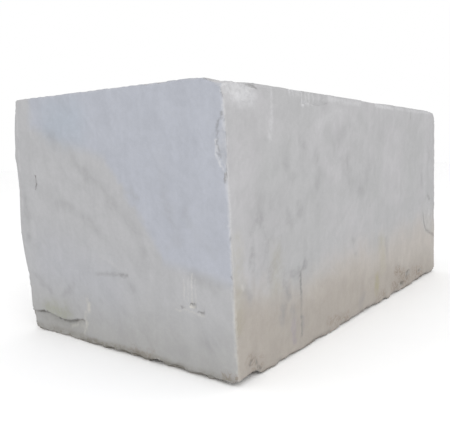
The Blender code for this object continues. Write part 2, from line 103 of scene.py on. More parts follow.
def smooth(value, low=0.0, high=1.0):
    """A soft step from 0 at low to 1 at high."""
    share = np.clip((np.asarray(value, float) - low) / (high - low), 0, 1)
    return share * share * (3 - 2 * share)


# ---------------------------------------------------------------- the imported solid, as planes


def facets(obj):
    """An object's points, and the numbers of the three points of each of its triangles."""
    obj.data.calc_loop_triangles()
    points = np.zeros(len(obj.data.vertices) * 3)
    obj.data.vertices.foreach_get("co", points)
    rings = np.zeros(len(obj.data.loop_triangles) * 3, int)
    obj.data.loop_triangles.foreach_get("vertices", rings)
    return points.reshape(-1, 3), rings.reshape(-1, 3)


def facet_crosses(points, triangles):
    """Each triangle's outward normal, twice as long as its area."""
    corners = points[triangles]
    return np.cross(corners[:, 1] - corners[:, 0], corners[:, 2] - corners[:, 0])


def sawn_plane(points, rings, outward):
    """The unit normal and the offset of the sawn face that looks this way."""
    cross = facet_crosses(points, rings)
    area = np.linalg.norm(cross, axis=1)
    normals = cross / np.maximum(area, 1e-12)[:, None]
    centres = points[rings].mean(axis=1)
    normal = outward
    for lean in SAWN_LEANS:
        chosen = normals @ normal > cos(lean)
        normal = (normals[chosen] * area[chosen, None]).sum(axis=0)
        normal /= np.linalg.norm(normal)
    return normal, np.average(centres[chosen] @ normal, weights=area[chosen])


solid_points, solid_rings = facets(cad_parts[NODE])
solid = BVHTree.FromPolygons(solid_points.tolist(), solid_rings.tolist())
planes = {name: sawn_plane(solid_points, solid_rings, way) for name, way in OUTWARD.items()}
core_low = CORE_INSET - np.array([planes[first][1] for first, _ in ENDS])
core_high = np.array([planes[second][1] for _, second in ENDS]) - CORE_INSET


def meeting_point(*names):
    """Where three of the planes meet."""
    normals = np.array([planes[name][0] for name in names])
    return np.linalg.solve(normals, [planes[name][1] for name in names])


def on_plane(name, point, axis):
    """The coordinate along this axis where the line through the point meets the plane."""
    normal, offset = planes[name]
    rest = sum(normal[i] * point[i] for i in range(3) if i != axis)
    return (offset - rest) / normal[axis]


def block_middle():
    """Where the block's own origin lies in the frame."""
    half_up = np.array((0, 0, BED_DROP + HEIGHT / 2))
    x = on_plane("left", half_up, 0) + LENGTH / 2
    y = on_plane("front", half_up, 1) + WIDTH / 2
    return np.array((x, y, BED_DROP))


middle = block_middle()

# ---------------------------------------------------------------- the fine mesh


def stations(length, low_reach, high_reach):
    """Where the grid lines cross an edge of this length, as shares of it."""
    inner = length - low_reach - high_reach
    counts = [max(round(part / FINE_CELL), 1) for part in (low_reach, high_reach)]
    low = np.linspace(0, low_reach, counts[0] + 1)
    centre = np.linspace(low_reach, length - high_reach, round(inner / COARSE_CELL) + 1)
    high = np.linspace(length - high_reach, length, counts[1] + 1)
    return np.concatenate((low, centre[1:], high[1:])) / length


SHARES = [stations(size, *reach) for size, reach in zip(SIZES, FINE_REACH)]


def farthest_hit(start, along, outward, angles):
    """Of a fan of rays across an arris, the hit that stands farthest out, and its angle."""
    across = np.cross(along, outward)
    best = None
    for angle in angles:
        way = outward * cos(angle) + across * sin(angle)
        hit = solid.ray_cast(start, way)[0]
        if hit is not None and (best is None or outward @ hit > outward @ best[0]):
            best = np.array(hit), angle
    return best


def arris_line(first, second, start, end, shares):
    """Points along the real arris between two corners, one at each share of its length."""
    along = (end - start) / np.linalg.norm(end - start)
    outward = planes[first][0] + planes[second][0]
    outward /= np.linalg.norm(outward)
    step = 2 * FAN_ANGLE / (FAN_RAYS - 1)
    straight = start + np.outer(shares, end - start)
    margin = CORNER_MARGIN / np.linalg.norm(end - start)
    moves = []
    for share in np.clip(shares, margin, 1 - margin):
        point = start + share * (end - start)
        inner = point - outward * FAN_DEPTH
        hit, angle = farthest_hit(
            inner, along, outward, np.linspace(-FAN_ANGLE, FAN_ANGLE, FAN_RAYS)
        )
        narrow = angle + np.linspace(-step, step, NARROW_RAYS)
        hit, _ = farthest_hit(inner, along, outward, narrow)
        moves.append(hit - point)

    # A sliding median takes the stray hits away, and two sliding means smooth what is left.
    steady = np.array(moves)
    for reduce in (np.median, np.mean, np.mean):
        padded = np.pad(steady, ((ARRIS_WINDOW, ARRIS_WINDOW), (0, 0)), mode="edge")
        windows = [padded[i : i + len(moves)] for i in range(2 * ARRIS_WINDOW + 1)]
        steady = reduce(windows, axis=0)
    steady -= np.outer(steady @ along, along)
    from_ends = np.minimum(shares, 1 - shares) * np.linalg.norm(end - start)
    return straight + steady * smooth(from_ends, 0, CORNER_FADE)[:, None]


def arris(fixed):
    """The arris along the one axis that isn't fixed. fixed gives the end, 0 or 1, of the others."""
    axis = [i for i in range(3) if i not in fixed][0]
    names = [ENDS[i][fixed[i]] for i in range(3) if i != axis]
    start, end = (meeting_point(*names, ENDS[axis][side]) for side in (0, 1))
    return arris_line(*names, start, end, SHARES[axis])


def face_patch(axis, side, arrises):
    """A grid of points over one face, blended between its four arrises."""
    rows, columns = [i for i in range(3) if i != axis]
    edge = {
        (other, end): arrises[frozenset(((axis, side), (other, end)))]
        for other in (rows, columns)
        for end in (0, 1)
    }
    u = SHARES[rows][:, None, None]
    v = SHARES[columns][None, :, None]
    down = edge[(columns, 0)][:, None] * (1 - v) + edge[(columns, 1)][:, None] * v
    over = edge[(rows, 0)][None] * (1 - u) + edge[(rows, 1)][None] * u
    corner = {(i, j): edge[(columns, j)][-i] for i in (0, 1) for j in (0, 1)}
    flat = sum(
        corner[(i, j)] * (u if i else 1 - u) * (v if j else 1 - v)
        for i, j in product((0, 1), repeat=2)
    )
    return down + over - flat


def on_solid(target):
    """The point of the solid's surface that a ray from the block's core meets on its way out."""
    anchor = np.clip(target, core_low, core_high)
    hit = solid.ray_cast(anchor, target - anchor)[0]
    return np.array(hit if hit is not None else solid.find_nearest(target)[0])


def slide(values, places, reach, pick):
    """The least or greatest value within reach of each row."""
    return np.array([pick(values[abs(places - here) <= reach], axis=0) for here in places])


def unbroken_skin(heights, rows, columns):
    """The heights that the face had before anything broke from it."""
    for pick in (np.max, np.min):
        heights = slide(heights, rows, SKIN_REACH, pick)
        heights = slide(heights.T, columns, SKIN_REACH, pick).T
    return heights


def all_arrises():
    """The twelve arrises, each under the axes and ends of the two faces that meet there."""
    found = {}
    for axis in range(3):
        others = [i for i in range(3) if i != axis]
        for sides in product((0, 1), repeat=2):
            fixed = dict(zip(others, sides))
            found[frozenset(fixed.items())] = arris(fixed)
    return found


def face_skin(axis, side, arrises):
    """One face's grid of points on the solid, and how much stone is missing at each of them."""
    name = ENDS[axis][side]
    patch = face_patch(axis, side, arrises)
    hits = np.array([[on_solid(point) for point in row] for row in patch])
    if name == "back":  # the rough back has no sawn skin
        return hits, np.ones(hits.shape[:2])
    normal, offset = planes[name]
    heights = hits @ normal - offset
    rows, columns = [SHARES[i] * SIZES[i] for i in range(3) if i != axis]
    skin = unbroken_skin(heights, rows, columns)
    return hits, smooth(skin - heights, BROKEN_FROM, BROKEN_TO)


def grid_quads(numbers, axis, side):
    """The cells of one face's grid of point numbers, turned so that they look outward."""
    ring = numbers[:-1, :-1], numbers[1:, :-1], numbers[1:, 1:], numbers[:-1, 1:]
    cells = np.stack(ring, axis=-1).reshape(-1, 4)
    turned = (axis == 1) != (side == 0)
    return cells[:, ::-1] if turned else cells


def fine_block():
    """The block's skin as one grid around the box, with what is known at each point as shares."""
    arrises = all_arrises()
    last = [len(share) - 1 for share in SHARES]
    index, points, quads = {}, [], []
    shares = {"broken": [], "on_left": [], "on_front": []}
    for axis, side in product(range(3), (0, 1)):
        name = ENDS[axis][side]
        rows, columns = [i for i in range(3) if i != axis]
        hits, missing = face_skin(axis, side, arrises)
        numbers = np.zeros(missing.shape, int)
        for i, j in np.ndindex(missing.shape):
            place = [0, 0, 0]
            place[axis], place[rows], place[columns] = side * last[axis], i, j
            key = tuple(place)
            if key not in index:
                index[key] = len(points)
                points.append(hits[i, j])
                for values in shares.values():
                    values.append(0.0)
            number = index[key]
            numbers[i, j] = number
            shares["broken"][number] = max(shares["broken"][number], missing[i, j])
            if name in ("left", "front"):
                shares["on_" + name][number] = 1.0
        quads.append(grid_quads(numbers, axis, side))
    shares = {name: np.array(values) for name, values in shares.items()}
    return np.array(points), shares, np.concatenate(quads)


def triangles_of(points, quads):
    """Each quad as two triangles, split along its shorter diagonal."""
    first = np.linalg.norm(points[quads[:, 0]] - points[quads[:, 2]], axis=1)
    second = np.linalg.norm(points[quads[:, 1]] - points[quads[:, 3]], axis=1)
    turned = np.where((first > second)[:, None], np.roll(quads, 1, axis=1), quads)
    return np.concatenate((turned[:, (0, 1, 2)], turned[:, (0, 2, 3)]))


def vertex_normals(points, triangles):
    """The unit normal at each point, from the area of the triangles around it."""
    cross = facet_crosses(points, triangles)
    normals = np.zeros_like(points)
    for i in range(3):
        np.add.at(normals, triangles[:, i], cross)
    return normals / np.linalg.norm(normals, axis=1)[:, None]


# How rough the fine mesh is: the broken stone and the sawn stone, each in steps from coarse to
# fine as (length, height), and the broken crystals. The broken steps' noise is lowered a little,
# so that they take more stone away than they add.
BROKEN_STEPS = ((0.110, 0.0055), (0.045, 0.0035), (0.019, 0.0018))
BROKEN_LOWERED = 0.4
CRYSTAL_SIZE, CRYSTAL_DEPTH = 0.030, 0.0035
SAWN_WAVES = ((0.160, 0.0006), (0.050, 0.0003))

# The small chips that the arrises have lost: how far they reach, their depth and sizes, and the
# noise where a chip starts, with the rise from there to where it is full.
CHIP_REACH = 0.016
CHIP_DEPTH = 0.0060
CHIP_SIZES = (0.055, 0.021)
CHIP_FROM, CHIP_RISE = 0.08, 0.4

# The larger chips along the foot of the walls, in the same terms, and how broken they look.
FOOT_REACH = 0.055
FOOT_DEPTH = 0.0090
FOOT_SIZES = (0.150, 0.060)
FOOT_FROM, FOOT_RISE = 0.05, 0.3
FOOT_BROKEN = 0.6

# The first seed of each kind of noise.
BROKEN_SEED, CRYSTAL_SEED, SAWN_SEED, CHIP_SEED, FOOT_SEED = 0, 5, 10, 20, 30

# The worn corner of the front, at its top right: the reach along x and z of the ellipse, and how
# far behind the front it starts to fade and is gone.
ROUND_REACH = (0.15, 0.12)
ROUND_FADE = (0.20, 0.50)


def noise_at(points, size, seed):
    """Smooth noise from -1 to 1 at each point, with features of this size."""
    shift = Vector((seed, 2.3 * seed, -seed))
    return np.array([noise.noise(Vector(point) / size + shift) for point in points])


def crystals_at(points, size, seed):
    """The depth below the facets of broken crystal grains of this size, from 0 to 1."""
    shift = Vector((seed, -seed, 1.7 * seed))
    return np.array([noise.voronoi(Vector(point) / size + shift)[0][0] for point in points])


def weathered(points, normals, broken, edge, foot):
    """The points after small relief: grains where the stone broke, and chips on the arrises.

    Where the foot has chipped, the stone also counts as broken from here on.
    """
    height = np.zeros(len(points))
    low = np.flatnonzero(foot > 0)
    for seed, size in enumerate(FOOT_SIZES, FOOT_SEED):
        level = noise_at(points[low], size, seed)
        chip = foot[low] * smooth(level, FOOT_FROM, FOOT_FROM + FOOT_RISE)
        height[low] -= chip * FOOT_DEPTH
        broken[low] = np.maximum(broken[low], chip * FOOT_BROKEN)
    rough = np.flatnonzero(broken > 0)
    for seed, (size, depth) in enumerate(BROKEN_STEPS, BROKEN_SEED):
        lowered = noise_at(points[rough], size, seed) - BROKEN_LOWERED
        height[rough] += broken[rough] * depth * lowered
    grains = crystals_at(points[rough], CRYSTAL_SIZE, CRYSTAL_SEED)
    height[rough] -= broken[rough] * CRYSTAL_DEPTH * grains
    for seed, (size, depth) in enumerate(SAWN_WAVES, SAWN_SEED):
        height += (1 - broken) * depth * (noise_at(points, size, seed) - 1)
    near = np.flatnonzero(edge > 0)
    for seed, size in enumerate(CHIP_SIZES, CHIP_SEED):
        level = noise_at(points[near], size, seed)
        chip = edge[near] * smooth(level, CHIP_FROM, CHIP_FROM + CHIP_RISE)
        height[near] -= chip * CHIP_DEPTH
    return points + normals * height[:, None]


def gaps_to(points, *names):
    """How far each point lies inside each of these planes."""
    return [planes[name][1] - points @ planes[name][0] for name in names]


def rounded(points):
    """The points after the right end of the front's top has worn round, as an ellipse."""
    across, down, inside = gaps_to(points, "right", "top", "front")
    ways = np.array([planes[name][0] for name in ("right", "top")])
    shares = 1 - np.stack((across, down), axis=1) / ROUND_REACH
    radius = np.linalg.norm(shares, axis=1)
    worn = (shares > 0).all(axis=1) & (radius > 1)
    cut = np.where(worn, 1 - 1 / np.maximum(radius, 1), 0) * (1 - smooth(inside, *ROUND_FADE))
    return points - (shares * cut[:, None] * ROUND_REACH) @ ways


def edge_share(points):
    """1 on the arrises between the sawn planes, and 0 beyond the reach of small chips."""
    gaps = np.sort([abs(points @ normal - offset) for normal, offset in planes.values()], axis=0)
    return 1 - smooth(gaps[1], 0.0, CHIP_REACH)


def foot_share(points):
    """1 on the arrises of the bed, and 0 beyond the reach of the chips there."""
    gaps = {name: abs(points @ normal - offset) for name, (normal, offset) in planes.items()}
    walls = np.min([gaps[name] for name in ("left", "right", "front", "back")], axis=0)
    return 1 - smooth(np.maximum(gaps["bed"], walls), 0.0, FOOT_REACH)


def hollowness(points, normals, triangles):
    """How much each point lies below its neighbours, as a slope: below 0 on a worn edge."""
    ends = np.concatenate((triangles[:, (0, 1)], triangles[:, (1, 2)], triangles[:, (2, 0)]))
    ends = np.concatenate((ends, ends[:, ::-1]))
    way = points[ends[:, 1]] - points[ends[:, 0]]
    rise = (way * normals[ends[:, 0]]).sum(axis=1) / np.linalg.norm(way, axis=1)
    count = np.bincount(ends[:, 0], minlength=len(points))
    slope = np.bincount(ends[:, 0], weights=rise, minlength=len(points)) / count
    around = np.bincount(ends[:, 0], weights=slope[ends[:, 1]], minlength=len(points)) / count
    return (slope + around) / 2


def new_mesh_object(name, points, faces, material):
    """An object at the origin whose mesh has these points and faces, shaded smooth."""
    data = bpy.data.meshes.new(name)
    data.from_pydata(points.tolist(), [], faces.tolist())
    data.shade_smooth()
    data.materials.append(material)
    obj = bpy.data.objects.new(name, data)
    bpy.context.scene.collection.objects.link(obj)
    return obj


def block_surface(material):
    """The marble block's visible surface."""
    points, shares, quads = fine_block()
    points = rounded(points)
    triangles = triangles_of(points, quads)
    normals = vertex_normals(points, triangles)
    shares["edge"] = edge_share(points)
    foot = foot_share(points)
    points = weathered(points, normals, shares["broken"], shares["edge"], foot)
    points = np.clip(points, *(np.array(corner) for corner in cad_box))
    triangles = triangles_of(points, quads)
    normals = vertex_normals(points, triangles)
    shares["hollow"] = hollowness(points, normals, triangles)
    block = new_mesh_object("marble_block_surface", points, triangles, material)
    for name, values in shares.items():
        layer = block.data.attributes.new(name, "FLOAT", "POINT")
        layer.data.foreach_set("value", values.astype(np.float32))
    return block


# ---------------------------------------------------------------- the stone


def linear(*levels):
    """A colour given in the 0 to 255 levels of a screen, as linear light."""
    return tuple(((v / 255 + 0.055) / 1.055) ** 2.4 for v in levels)


# The light that the studio brings to a wall of the block, as a share of white.
WALL_LIGHT = 1.20


def seen(*levels):
    """The reflectance of stone that looks like this colour in the studio."""
    return tuple(v / WALL_LIGHT for v in linear(*levels))


STONE = seen(187, 186, 188)
CLOUD = seen(180, 180, 181)
LAVENDER = seen(178, 181, 190)
CYAN = seen(171, 178, 188)
END_GREY = seen(180, 180, 182)
END_LOW = seen(178, 179, 184)
# The grey of the painted shade at the foot of the walls, also the colour of broken stone low down.
FOOT_GREY = seen(164, 163, 160)
GREEN_GREY = seen(164, 165, 155)
VEIN = seen(150, 150, 151)
# Dark cracks, and painted shadows in pits and under a broken lip.
MARK = seen(112, 110, 107)
PURPLE = seen(160, 152, 160)
EARTH = seen(172, 165, 157)
RUST = seen(132, 115, 98)
OCHRE = seen(170, 164, 134)
PINK = seen(188, 181, 174)
# Pale marks high up; some of them are painted highlights.
PALE_HIGH = seen(208, 208, 210)
GRAIN = seen(192, 192, 193)
# Soil on the foot, with painted shade there and in the hollows near the bed.
SOIL_AND_SHADE = seen(124, 117, 104)
# Pale wear on the arrises, with a painted highlight.
WORN_AND_HIGHLIGHT = seen(203, 203, 204)
# Pale marks low down; some of them are painted highlights.
PALE_LOW = seen(199, 196, 189)

# Soft dark veins on the left end. Each row has a width, a strength, and points as (y, z).
END_VEINS = (
    (0.060, 0.28, (0.297, 1.194), (0.083, 1.027), (-0.093, 0.887), (-0.188, 0.785), (-0.270, 0.666)),
    (0.060, 0.16, (-0.448, 1.210), (-0.462, 1.089), (-0.462, 0.990)),
    (0.060, 0.20, (-0.462, 0.990), (-0.517, 0.858), (-0.545, 0.776), (-0.488, 0.709)),
    (0.060, 0.18, (-0.619, 0.897), (-0.697, 0.788), (-0.815, 0.701)),
    (0.060, 0.25, (0.487, 0.919), (0.287, 0.856), (0.109, 0.783)),
    (0.050, 0.35, (-0.124, 1.026), (-0.240, 0.994)),
    (0.060, 0.30, (-0.656, 0.571), (-0.806, 0.520)),
    (0.045, 0.30, (-0.098, 0.457), (-0.156, 0.428)),
    (0.050, 0.30, (0.799, 0.392), (0.671, 0.301)),
    (0.050, 0.30, (0.851, 0.933), (0.851, 0.777), (0.855, 0.669)),
    (0.070, 0.25, (0.535, 1.371), (0.480, 1.299)),
    (0.040, 0.35, (0.548, 0.282), (0.407, 0.372)),
    (0.030, 0.40, (0.160, 0.305), (0.141, 0.302)),
    (0.090, 0.35, (-0.700, 0.214), (-0.784, 0.202)),
    (0.070, 0.25, (-0.405, 0.082), (-0.563, 0.128)),
)

# Small dark cracks on the left end, and painted shadows: under the lip of the broken ledge low
# down, and in the upper parts of a row of pits.
END_MARKS = (
    (0.010, 0.90, (0.731, 1.102), (0.720, 1.054), (0.738, 1.012)),
    (0.024, 0.26, (0.167, 0.484), (-0.061, 0.504)),
    (0.024, 0.45, (-0.061, 0.504), (-0.115, 0.503)),
    # The painted shadow under the lip of the broken ledge.
    (0.018, 0.85, (0.841, 0.124), (0.723, 0.137), (0.635, 0.105), (0.527, 0.101), (0.401, 0.134)),
    # Painted shadows in the upper parts of the pits.
    (0.012, 0.50, (-0.549, 0.381), (-0.572, 0.379)),
    (0.010, 0.70, (-0.620, 0.403), (-0.643, 0.405)),
    (0.012, 0.60, (-0.675, 0.368), (-0.705, 0.363)),
    (0.016, 0.60, (-0.882, 1.427), (-0.882, 1.408)),
    (0.012, 0.45, (-0.869, 1.399), (-0.855, 1.375), (-0.839, 1.269), (-0.860, 1.208)),
    (0.014, 0.90, (-0.897, 1.125), (-0.896, 1.085)),
    (0.010, 0.70, (-0.906, 0.591), (-0.911, 0.584)),
)

# Pale scratches, bruises and rims on the left end; the rims under the row of pits are painted
# highlights.
END_PALE = (
    (0.010, 0.40, (-0.579, 0.537), (-0.574, 0.422)),
    (0.010, 0.28, (-0.609, 0.558), (-0.603, 0.415)),
    (0.012, 0.50, (-0.640, 0.578), (-0.633, 0.414)),
    (0.010, 0.30, (-0.662, 0.553), (-0.657, 0.417)),
    # Painted highlights on the lower rims of the pits.
    (0.014, 0.95, (-0.622, 0.391), (-0.641, 0.390)),
    (0.012, 0.40, (-0.510, 0.356), (-0.548, 0.354)),
    (0.010, 0.40, (-0.571, 0.371), (-0.665, 0.353), (-0.715, 0.350)),
    (0.026, 0.40, (0.281, 0.311), (0.278, 0.272)),
    (0.034, 0.80, (0.266, 0.269), (0.271, 0.228)),
    (0.024, 0.40, (0.303, 0.205), (0.316, 0.163)),
    (0.032, 0.75, (0.302, 0.134), (0.315, 0.106)),
    (0.026, 0.50, (0.336, 0.079), (0.349, 0.056)),
    (0.020, 0.45, (0.400, 0.128), (0.440, 0.090), (0.500, 0.070)),
    (0.045, 0.25, (0.380, 0.100), (0.330, 0.090)),
    (0.010, 0.60, (-0.835, 1.297), (-0.841, 1.216), (-0.865, 1.176), (-0.886, 1.145)),
    (0.028, 0.16, (0.119, 0.604), (-0.043, 0.545)),
)

# Blotches on the left end: a cold patch, a bluish one low down, moss, and earth on the foot.
END_CYAN = ((0.24, 0.80, (0.48, 1.45), (0.31, 1.44)),)
END_COLD = ((0.40, 0.75, (0.60, 0.50), (0.10, 0.36)),)
END_MOSS = ((0.12, 0.90, (0.70, 0.17), (0.54, 0.16)),)
END_EARTH = (
    (0.060, 0.55, (-0.120, 0.020), (-0.270, 0.030)),
    (0.050, 0.75, (-0.850, 0.030), (-0.920, 0.040)),
)

# Soft dark veins on the front, as (x, z).
FRONT_VEINS = (
    (0.300, 0.30, (-1.390, 0.820), (-1.300, 0.560)),
    (0.260, 0.16, (-1.150, 0.420), (-1.120, 0.250)),
    (0.095, 0.42, (-1.426, 0.889), (-1.391, 0.829), (-1.336, 0.737)),
    (0.075, 0.36, (-1.346, 0.739), (-1.374, 0.618), (-1.340, 0.497)),
    (0.050, 0.48, (-1.500, 0.783), (-1.507, 0.609)),
    (0.060, 0.30, (-1.429, 0.993), (-1.435, 0.895)),
    (0.050, 0.30, (-1.441, 0.664), (-1.433, 0.629)),
    (0.060, 0.30, (-1.122, 0.862), (-1.080, 0.791)),
    (0.050, 0.30, (-0.990, 0.909), (-0.982, 0.835)),
    (0.050, 0.25, (-1.205, 0.789), (-1.202, 0.747)),
    (0.040, 0.60, (-0.923, 0.539), (-0.963, 0.514)),
    (0.060, 0.45, (-1.187, 0.526), (-1.098, 0.484), (-1.001, 0.490)),
    (0.065, 0.50, (-1.180, 0.452), (-1.152, 0.355)),
    (0.065, 0.50, (-1.211, 0.314), (-1.211, 0.217)),
    (0.060, 0.50, (-1.108, 0.301), (-1.077, 0.219)),
    (0.034, 0.50, (-0.996, 0.476), (-0.996, 0.357)),
    (0.034, 0.30, (-0.996, 0.357), (-0.998, 0.211)),
    (0.034, 0.45, (-0.998, 0.211), (-0.998, 0.102)),
    (0.050, 0.35, (-1.576, 0.497), (-1.533, 0.443)),
    (0.100, 0.25, (-0.244, 1.449), (-0.473, 1.248)),
    (0.120, 0.30, (-0.337, 1.157), (-0.263, 1.000), (-0.058, 0.943)),
    (0.100, 0.22, (0.135, 1.144), (0.017, 0.998)),
    (0.120, 0.20, (0.386, 1.469), (0.298, 1.296)),
    (0.060, 0.30, (1.295, 0.963), (1.306, 0.897)),
    (0.060, 0.30, (1.485, 1.201), (1.496, 1.125)),
    (0.050, 0.30, (0.401, 0.487), (0.430, 0.358)),
    (0.050, 0.30, (-0.213, 0.568), (-0.190, 0.483)),
    (0.060, 0.35, (-0.126, 0.085), (-0.051, 0.122)),
    (0.080, 0.30, (-0.759, 1.182), (-0.683, 1.070), (-0.741, 1.015)),
    (0.060, 0.25, (-0.956, 1.295), (-0.885, 1.234)),
    (0.060, 0.25, (-1.128, 1.144), (-1.063, 1.071)),
)

# Small dark cracks on the front: the notch under the arris, the joint, and the shell's rim.
FRONT_MARKS = (
    (0.014, 0.70, (-1.479, 1.585), (-1.438, 1.581), (-1.404, 1.571)),
    (0.028, 0.50, (1.385, 0.596), (1.397, 0.527), (1.450, 0.436), (1.650, 0.357)),
    (0.020, 0.45, (-0.996, 0.490), (-0.994, 0.357)),
    (0.018, 0.22, (-0.994, 0.357), (-1.000, 0.211)),
    (0.020, 0.38, (-1.000, 0.211), (-0.998, 0.090)),
    (0.016, 0.55, (-1.567, 0.079), (-1.551, 0.102)),
    (0.016, 0.60, (-1.504, 0.086), (-1.491, 0.053), (-1.457, 0.033)),
    (0.036, 0.40, (1.467, 0.771), (1.544, 0.726)),
    (0.022, 0.30, (1.002, 1.575), (1.008, 1.484)),
)

# Pale spalls, streaks and rims on the front, and pale wear along the top arris with a painted
# highlight.
FRONT_PALE = (
    (0.110, 0.95, (-1.640, 1.560), (-1.557, 1.535), (-1.486, 1.530)),
    (0.060, 0.50, (-1.500, 1.505), (-1.560, 1.480)),
    (0.022, 0.45, (-1.259, 1.578), (-1.259, 1.494), (-1.260, 1.414)),
    (0.030, 0.65, (-1.268, 1.400), (-1.277, 1.359)),
    (0.036, 0.60, (-1.287, 1.339), (-1.290, 1.310)),
    (0.020, 0.55, (-1.066, 1.596), (-1.066, 1.560)),
    (0.020, 0.45, (-1.028, 1.596), (-1.028, 1.560)),
    (0.050, 0.50, (-0.980, 1.585), (-0.930, 1.570)),
    (0.030, 1.00, (-0.906, 1.600), (-0.907, 1.510)),
    (0.024, 0.55, (-0.845, 1.580), (-0.845, 1.525)),
    (0.028, 0.85, (-0.865, 1.525), (-0.840, 1.520)),
    (0.024, 0.50, (-0.800, 1.590), (-0.800, 1.520)),
    (0.020, 0.40, (-0.750, 1.590), (-0.750, 1.530)),
    (0.024, 0.40, (-0.668, 1.595), (-0.668, 1.530)),
    (0.036, 0.55, (-0.560, 1.570), (-0.530, 1.560)),
    # Pale wear along the top arris, with a painted highlight.
    (0.030, 0.50, (-0.546, 1.562), (-0.070, 1.554)),
    (0.026, 0.80, (0.207, 1.558), (0.582, 1.552)),
    (0.024, 0.50, (0.627, 1.553), (1.547, 1.552)),
    (0.060, 0.22, (-0.735, 1.383), (-0.580, 1.451), (-0.462, 1.482), (-0.323, 1.480)),
    (0.060, 0.18, (-0.323, 1.487), (-0.211, 1.450), (-0.128, 1.410)),
    (0.020, 0.50, (-1.606, 0.527), (-1.597, 0.515)),
    (0.050, 0.40, (1.543, 0.579), (1.543, 0.461)),
)

# Stains on the front: a purple smear, rusty earth in the low pits, and ochre drips.
FRONT_PURPLE = ((0.050, 0.70, (-1.085, 0.195), (-1.097, 0.086)),)
FRONT_RUST = (
    (0.090, 0.70, (0.620, 0.190), (0.702, 0.165)),
    (0.110, 0.80, (0.737, 0.121), (0.900, 0.060)),
    (0.090, 0.70, (0.546, 0.064), (0.656, 0.060)),
    (0.100, 0.70, (1.053, 0.081), (1.270, 0.053)),
    (0.080, 0.50, (0.220, 0.032), (0.346, 0.037)),
    (0.060, 0.50, (-0.617, 0.064), (-0.336, 0.032)),
    (0.080, 0.55, (-1.560, 0.090), (-1.470, 0.050)),
)
FRONT_OCHRE = (
    (0.085, 0.60, (0.205, 0.216), (0.201, 0.131)),
    (0.110, 0.28, (0.317, 0.515), (0.331, 0.284)),
    (0.110, 0.20, (-1.268, 0.646), (-1.269, 0.453)),
    (0.090, 0.20, (-1.638, 0.771), (-1.651, 0.325)),
)

# The border of the lavender zone on the left end: it runs through the first point with two slopes
# and through the second with one. Slopes are rises in z for each metre of y.
BORDER_BEND, BORDER_SLOPES = (0.011, 1.192), (0.30, 1.275)
BORDER_FOOT, BORDER_FOOT_SLOPE = (-0.443, 0.600), 0.15
BORDER_BACK = 0.77  # the zone's greatest y

# The way that the stone's smudges are drawn out, and how much. Streaks run down the walls: their
# noise is squeezed this much along z.
SMUDGE_WAY = Vector((0.50, 0.60, 0.62)).normalized()
SMUDGE_STRETCH = 0.65
STREAK_SQUEEZE = 0.12

# Heights in metres at which a layer starts and is full. The first is of the painted shade, a grey at
# the foot of the walls, the next two are of the earth that has risen into them, from its own level,
# and the last two are of the fresh colour of broken stone and of the pale marks.
FOOT_FADE = (0.38, -0.12)
PINK_FADE = (0.34, 0.0)
EARTH_FADE = (0.14, -0.15)
FRESH_FADE = (0.05, 0.45)
PALE_FADE = (0.2, 0.9)

# The earth's level, how much it rises for each metre of x, and how much the level of the dark
# earth falls away from it. The clouds and the mottle shift both by up to these amounts.
EARTH_LEVEL = 0.59
EARTH_RISE = 0.035
DARK_EARTH_FALL = 0.10
EARTH_CLOUDS, EARTH_MOTTLE = 0.35, 0.20

# The thin band of soil and painted shade on the foot: where it starts and is full, how far the
# mottle and the fine noise shift it, and how much wider it is on the left end and narrower on the
# front.
FOOT_BAND_FADE = (-0.010, -0.044)
FOOT_BAND_SHIFTS = (-0.06, -0.035)
FOOT_BAND_LEFT, FOOT_BAND_FRONT = -0.022, 0.014

# The pale line along the worn arris between the left end and the front: its wear, and a painted
# highlight on it.
NEAR_ARRIS_WIDTH = 0.022


